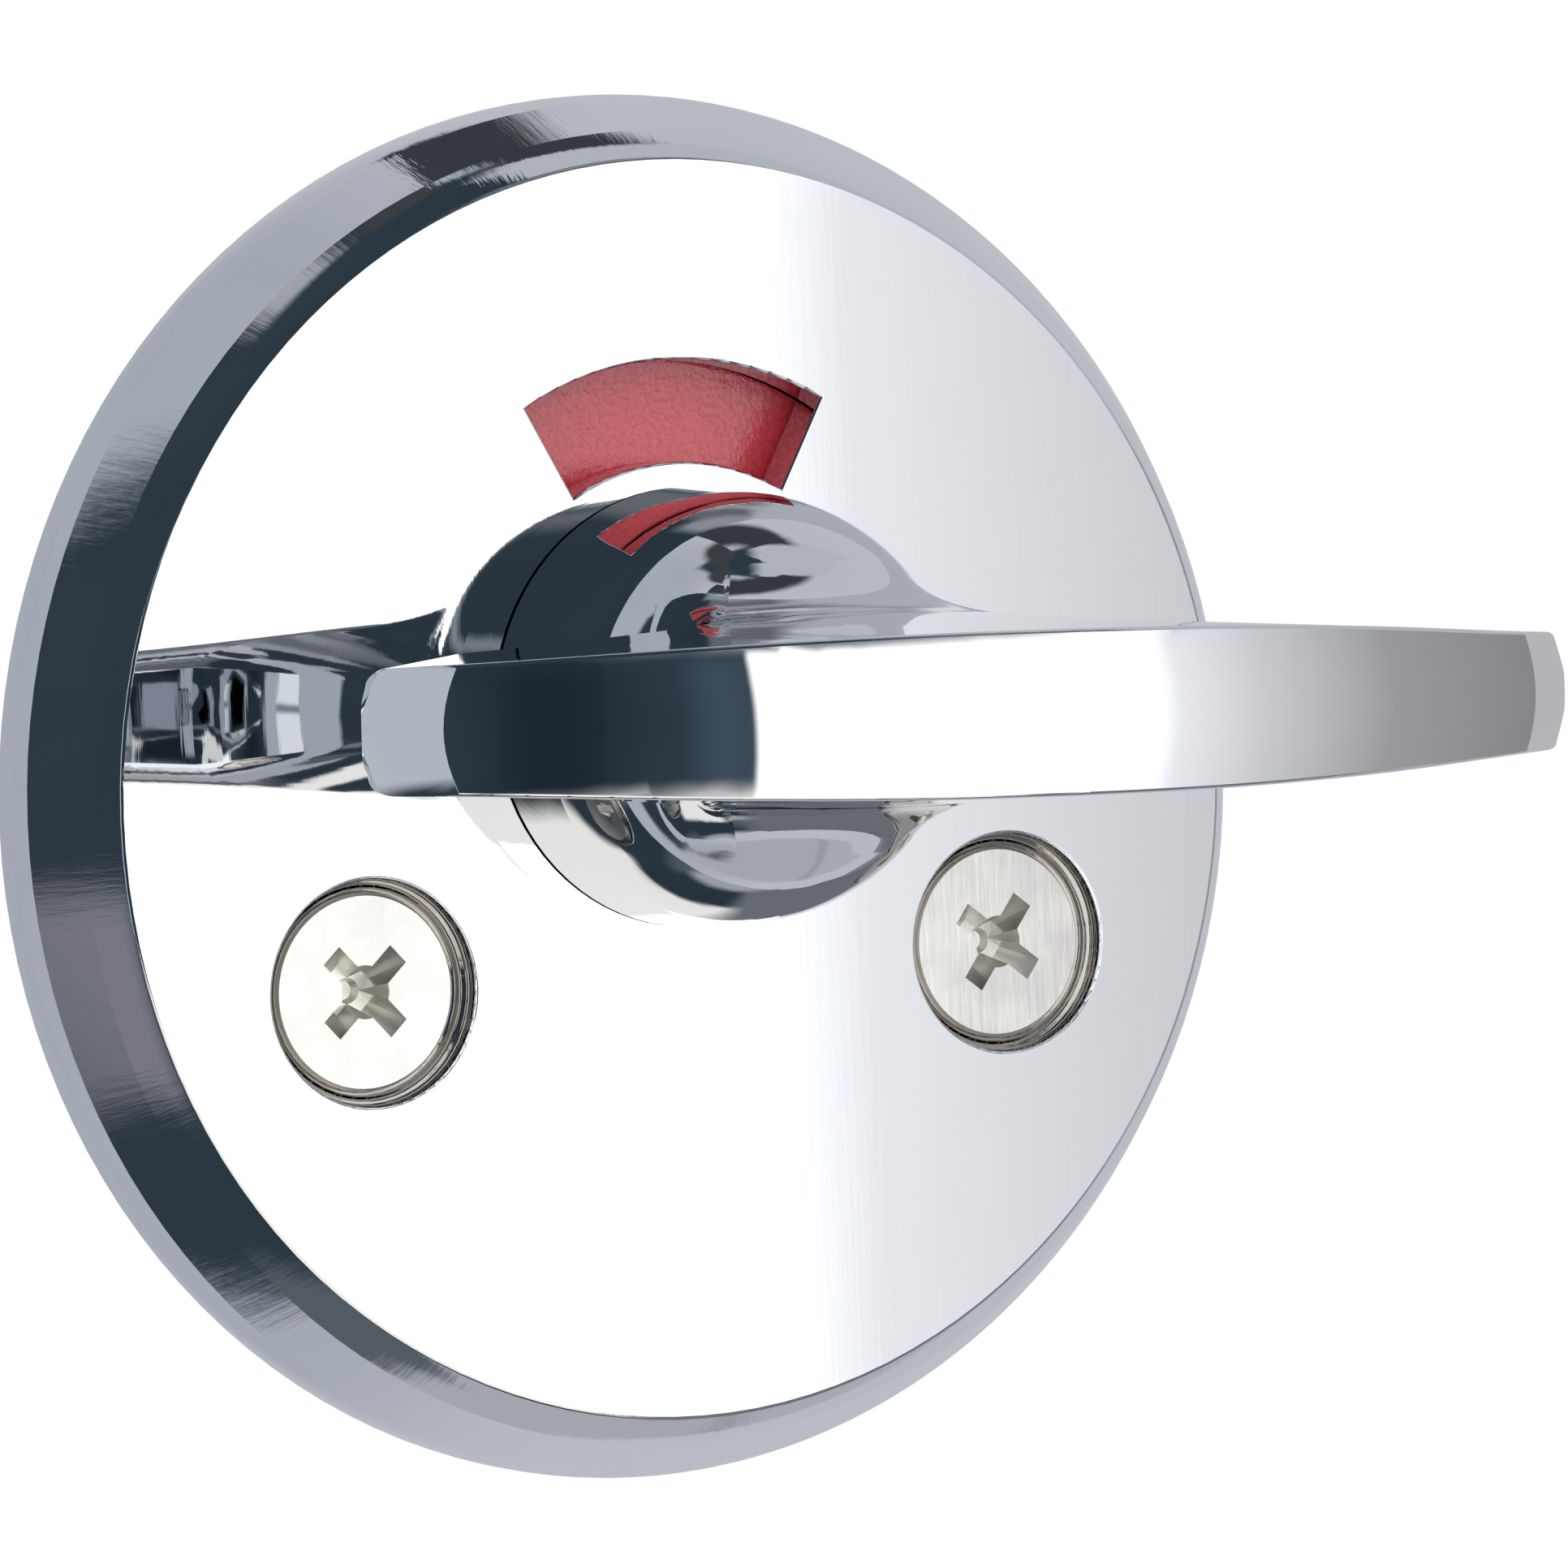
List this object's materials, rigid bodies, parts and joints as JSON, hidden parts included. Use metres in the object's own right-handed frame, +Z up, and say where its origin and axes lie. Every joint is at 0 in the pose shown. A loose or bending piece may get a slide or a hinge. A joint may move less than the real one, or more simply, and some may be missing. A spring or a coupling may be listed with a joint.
{
  "type": "privacy thumb turn with indicator",
  "caption": "Round bevelled rose with a T-bar thumb turn on a domed boss, an arc-shaped occupancy indicator window and two countersunk fixing screws",
  "frame": {"origin": "On the spindle axis where it crosses the door face, the plane of the rose's back", "axes": "+Z up on the door, +Y into the door along the spindle, -Y towards the room, +X to the right as seen from the room"},
  "size_m": [0.065, 0.0787, 0.065],
  "materials": {
    "polished_chrome": "mirror-polished chrome plate over a die casting",
    "screw_steel": "satin nickel-plated steel",
    "red_enamel": "red powder coat with a fine orange-peel texture",
    "white_enamel": "white powder coat with a fine orange-peel texture",
    "plated_steel": "zinc-plated steel",
    "bush_plastic": "natural nylon",
    "spring_steel": "oiled spring steel"
  },
  "bodies": {
    "rose": {"rose_cover": "polished_chrome", "bearing_bush": "bush_plastic", "back_plate": "plated_steel", "back_plate_screws": "plated_steel", "stop_pin_locked": "spring_steel", "stop_pin_open": "spring_steel", "detent_spring": "spring_steel", "fixing_screw_left": "screw_steel", "fixing_screw_right": "screw_steel"},
    "turn": {"turn_handle": "polished_chrome", "spindle": "plated_steel", "spindle_pin": "spring_steel", "indicator_disc": "plated_steel", "red_indicator": "red_enamel", "white_indicator": "white_enamel", "spring_washer": "spring_steel", "retaining_clip": "spring_steel"}
  },
  "joints": [
    {"name": "lock_turn", "type": "hinge", "parent": "rose", "child": "turn", "pos_m": [0, 0, 0], "axis": [0, -1, 0], "range_deg": [0, 91], "deforming": ["detent_spring"]}
  ]
}
